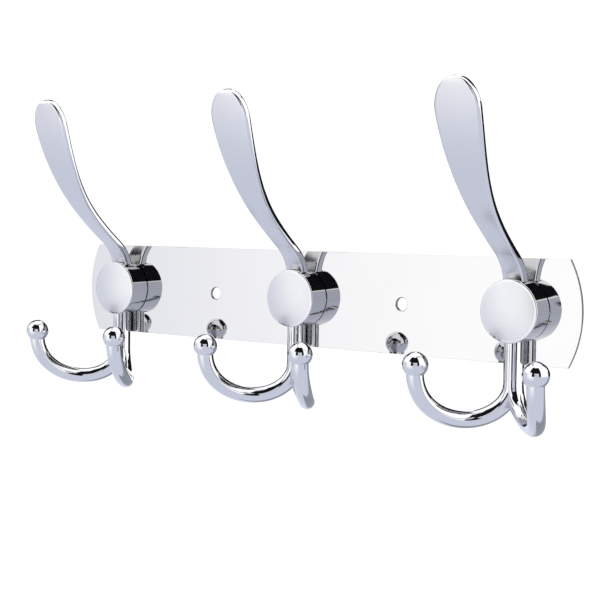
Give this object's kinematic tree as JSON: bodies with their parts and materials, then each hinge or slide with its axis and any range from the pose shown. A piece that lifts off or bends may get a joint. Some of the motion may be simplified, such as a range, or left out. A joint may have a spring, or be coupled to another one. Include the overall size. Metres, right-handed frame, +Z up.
{
  "type": "wall hook rack",
  "caption": "Wall hook rack: a flat polished plate with bowed ends and round hubs, each hub holding a tall curved arm above and a pair of ball-ended prongs below.",
  "frame": {"origin": "centre of the plate's back face, the face that lies on the wall", "axes": "+X along the rack to its right end as seen from the front, +Z up, the rack faces -Y"},
  "size_m": [0.2588, 0.0526, 0.1245],
  "materials": {
    "plate_steel": "mirror polished stainless steel",
    "cover_chrome": "polished chrome plate",
    "arm_chrome": "polished chrome plate",
    "prong_chrome": "polished chrome plate",
    "screw_zinc": "bright zinc plated"
  },
  "bodies": {
    "root": {"back_plate": "plate_steel", "hub_cover_left": "cover_chrome", "hub_cover_middle": "cover_chrome", "hub_cover_right": "cover_chrome", "upper_arm_left": "arm_chrome", "upper_arm_middle": "arm_chrome", "upper_arm_right": "arm_chrome", "double_prong_left": "prong_chrome", "double_prong_middle": "prong_chrome", "double_prong_right": "prong_chrome", "hub_screw_left": "screw_zinc", "hub_screw_middle": "screw_zinc", "hub_screw_right": "screw_zinc"}
  },
  "joints": []
}
